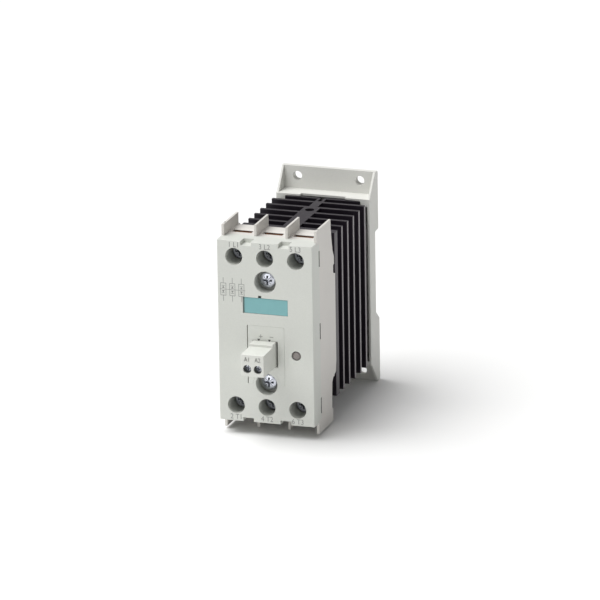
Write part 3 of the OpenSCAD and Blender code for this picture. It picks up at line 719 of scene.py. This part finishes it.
def makeLensPiece(look):
    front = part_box("indicator_lens")[0].y
    x, z = boxCentre("indicator_lens")
    bm = bmesh.new()
    rings = [bm.verts.new((x + r * mm, front + d * mm, z)) for r, d in look["profile"]]
    edges = [bm.edges.new(pair) for pair in zip(rings, rings[1:])]
    bmesh.ops.spin(bm, geom=rings + edges, cent=(x, 0, z), axis=(0, 1, 0), dvec=(0, 0, 0), angle=2 * math.pi,
                   steps=look["steps"], use_merge=True, use_duplicate=False)
    bmesh.ops.remove_doubles(bm, verts=bm.verts, dist=1e-7)
    bmesh.ops.recalc_face_normals(bm, faces=bm.faces)
    piece = finishPiece("lens", bm, "housing", finishes["lens"].material)
    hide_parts("indicator_lens")


makeLensPiece(lensLook)


# Latch spring: a round wire wound as a screw line, built at one length and not pressed together as the latch is
# pulled
springLook = {"wire": 0.2, "radius": 0.9, "turns": 8, "stepsPerTurn": 24, "wireSides": 10, "sharp": 60,
              "keep": 0.609}


def makeSpring(look):
    low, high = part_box("latch_spring")
    x, y = (low.x + high.x) / 2, (low.y + high.y) / 2
    wire = look["wire"] * mm
    rise = high.z - low.z - 2 * wire
    bm = bmesh.new()
    bmesh.ops.create_circle(bm, cap_ends=True, segments=look["wireSides"], radius=wire)
    turn = Matrix.Rotation(math.pi / 2, 4, "X")
    spot = Matrix.Translation((x + look["radius"] * mm, y, low.z + wire))
    bmesh.ops.transform(bm, matrix=spot @ turn, verts=bm.verts)
    steps = look["turns"] * look["stepsPerTurn"]
    bmesh.ops.spin(bm, geom=bm.verts[:] + bm.edges[:] + bm.faces[:], cent=(x, y, 0), axis=(0, 0, 1),
                   dvec=(0, 0, rise / steps), angle=2 * math.pi * look["turns"], steps=steps, use_duplicate=False)
    bmesh.ops.recalc_face_normals(bm, faces=bm.faces)
    material = finishes["spring_steel"].material
    piece = finishPiece("latchSpring", bm, "housing", material, look["sharp"])
    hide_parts("latch_spring")
    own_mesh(piece)


makeSpring(springLook)
print("spring and lens ready")


# Printed marks: flat letters and lines, a hair proud of the face at y
class Print:
    def __init__(self, y, proud=0.012, sunk=0.01):
        self.bm = bmesh.new()
        self.y = y
        self.proud = proud * mm
        self.sunk = sunk * mm

    def thicken(self, faces):
        made = bmesh.ops.extrude_face_region(self.bm, geom=faces)["geom"]
        verts = [g for g in made if isinstance(g, bmesh.types.BMVert)]
        bmesh.ops.translate(self.bm, verts=verts, vec=(0, -self.proud - self.sunk, 0))

    def outline(self, points):
        verts = [self.bm.verts.new((x * mm, self.y + self.sunk, middle + z * mm)) for x, z in points]
        self.thicken([self.bm.faces.new(verts)])

    def line(self, x0, z0, x1, z1, width):
        along = Vector((x1 - x0, z1 - z0)).normalized() * (width / 2)
        across = Vector((-along.y, along.x))
        corners = [(x0, z0, -1, -1), (x1, z1, 1, -1), (x1, z1, 1, 1), (x0, z0, -1, 1)]
        shifted = ((x, z, along * a + across * b) for x, z, a, b in corners)
        self.outline([(x + shift.x, z + shift.y) for x, z, shift in shifted])

    def words(self, text, x, z, size, narrow):
        curve = bpy.data.curves.new("words", "FONT")
        curve.body = text
        curve.size = 1
        curve.align_x = "CENTER"
        curve.align_y = "CENTER"
        curve.resolution_u = 3
        holder = bpy.data.objects.new("words", curve)
        bpy.context.scene.collection.objects.link(holder)
        mesh = bpy.data.meshes.new_from_object(holder)
        bpy.data.objects.remove(holder)
        scale = Matrix.Diagonal((size * narrow * mm, size * mm, 1, 1))
        stand = Matrix.Rotation(math.pi / 2, 4, "X")
        spot = Matrix.Translation((x * mm, self.y + self.sunk, middle + z * mm))
        mesh.transform(spot @ stand @ scale)
        before = set(self.bm.faces)
        self.bm.from_mesh(mesh)
        bpy.data.meshes.remove(mesh)
        self.thicken([f for f in self.bm.faces if f not in before])

    def done(self, name, body, ink):
        bmesh.ops.remove_doubles(self.bm, verts=self.bm.verts, dist=1e-8)
        bmesh.ops.recalc_face_normals(self.bm, faces=self.bm.faces)
        finishPiece(name, self.bm, body, ink.material, 30)


# Terminal names, and three boxes with two thyristors each on a common line
terminalMarks = {"size": 3.45, "narrow": 0.9, "upZ": 40.5, "downZ": -40.55, "up": ("1 L1", "3 L2", "5 L3"),
                 "down": ("2 T1", "4 T2", "6 T3"), "pitch": 14.6}
circuit = {"columns": (-19.8, -15.5, -11.2), "half": 1.25, "low": 16.5, "high": 22.2, "leads": (13.9, 24.8),
           "link": (-21.4, -9.4, 19.35), "linkShare": 0.8, "stroke": 0.22, "arrowHalf": 0.6, "foot": 0.5, "tip": 1.6,
           "bar": 1.75}


def printFront(t, c):
    marks = Print(coverLow.y)
    for i, pole in enumerate(poles):
        marks.words(t["up"][i], pole * t["pitch"], t["upZ"], t["size"], t["narrow"])
        marks.words(t["down"][i], pole * t["pitch"], t["downZ"], t["size"], t["narrow"])
    stroke, low, high = c["stroke"], c["low"], c["high"]
    centre = (low + high) / 2
    half, foot, tip, bar = (c[k] for k in ("arrowHalf", "foot", "tip", "bar"))
    for x in c["columns"]:
        left, right = x - c["half"], x + c["half"]
        marks.line(left, low, right, low, stroke)
        marks.line(left, high, right, high, stroke)
        marks.line(left, low + stroke, left, high - stroke, stroke)
        marks.line(right, low + stroke, right, high - stroke, stroke)
        marks.line(x, c["leads"][0], x, low - stroke, stroke)
        marks.line(x, high + stroke, x, c["leads"][1], stroke)
        marks.outline([(x - half, centre + foot), (x + half, centre + foot), (x, centre + tip)])
        marks.outline([(x - half, centre - foot), (x, centre - tip), (x + half, centre - foot)])
        marks.line(x - half, centre + bar, x + half, centre + bar, stroke)
        marks.line(x - half, centre - bar, x + half, centre - bar, stroke)
    start, end, z = c["link"]
    marks.line(start, z, end, z, stroke * c["linkShare"])
    marks.done("terminalMarks", "housing", paleInk)


printFront(terminalMarks, circuit)

# Two dark arrowheads above the plug, with a plus and a minus sign
polarity = {"at": (-3.4, 1.7), "z": -3.3, "half": 0.75, "drop": 1.2, "signZ": -1.5, "sign": 1.5, "signShift": 1,
            "stroke": 0.28}


def printPolarity(p):
    dark = Print(coverLow.y)
    top, tip = p["z"] + p["drop"] / 2, p["z"] - p["drop"] / 2
    for x in p["at"]:
        dark.outline([(x - p["half"], top), (x, tip), (x + p["half"], top)])
    dark.done("polarityArrows", "housing", darkInk)
    pale = Print(coverLow.y)
    plus, minus = (x + p["signShift"] for x in p["at"])
    reach, stroke, z = p["sign"] / 2, p["stroke"], p["signZ"]
    pale.line(plus - reach, z, plus + reach, z, stroke)
    pale.line(plus, z + stroke, plus, z + reach, stroke)
    pale.line(plus, z - stroke, plus, z - reach, stroke)
    pale.line(minus - reach, z, minus + reach, z, stroke)
    pale.done("polaritySigns", "housing", paleInk)


printPolarity(polarity)

# The plug's marks end flush with its face
plugMarks = {"words": ("A1", "A2"), "x": (-3.15, 1.85), "z": -7.3, "size": 3.0, "narrow": 0.78, "thick": 0.012}


def printPlug(p):
    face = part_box("plug_housing")[0].y
    marks = Print(face + p["thick"] * mm, proud=p["thick"], sunk=0.0)
    for word, x in zip(p["words"], p["x"]):
        marks.words(word, x, p["z"], p["size"], p["narrow"])
    marks.done("plugMarks", "control_plug", paleInk)


printPlug(plugMarks)
print("marks ready")


# Floor, light and world
studio = {"floorSize": 40, "floorGap": 0.02, "floorTone": 0.84, "world": 0.3, "lamps": {
    "overhead": {"strength": 1.08, "lean": (-0.4, -0.14, 0.9), "spread": 55},
    "front": {"strength": 0.23, "lean": (-0.3, -0.95, -0.05), "spread": 34}}}


def makeStudio(s):
    bm = bmesh.new()
    bmesh.ops.create_grid(bm, x_segments=4, y_segments=4, size=s["floorSize"] / 2)
    bmesh.ops.translate(bm, verts=bm.verts, vec=(0, 0, cadBox[0][2] - s["floorGap"] * mm))
    mesh = bpy.data.meshes.new("floor")
    bm.to_mesh(mesh)
    bm.free()
    floor = bpy.data.objects.new("floor", mesh)
    bpy.context.scene.collection.objects.link(floor)
    f = Finish("paleFloor", Specular_IOR_Level=0.1, Roughness=0.9)
    tone = s["floorTone"]
    f.colour(f.mix(f.noise(60, 2), (tone, tone, tone, 1), (tone * 1.01, tone * 1.01, tone, 1)))
    mesh.materials.append(f.material)
    world = bpy.data.worlds.new("studio")
    world.use_nodes = True
    background = world.node_tree.nodes["Background"]
    background.inputs["Color"].default_value = (1, 1, 1, 1)
    background.inputs["Strength"].default_value = s["world"]
    bpy.context.scene.world = world
    for name, look in s["lamps"].items():
        sun = bpy.data.lights.new(name, "SUN")
        sun.energy = math.pi * look["strength"]
        sun.angle = math.radians(look["spread"])
        lamp = bpy.data.objects.new(name, sun)
        bpy.context.scene.collection.objects.link(lamp)
        lamp.rotation_euler = Vector(look["lean"]).to_track_quat("Z", "Y").to_euler()


makeStudio(studio)
bpy.context.scene.view_settings.view_transform = "Standard"
print("studio ready")
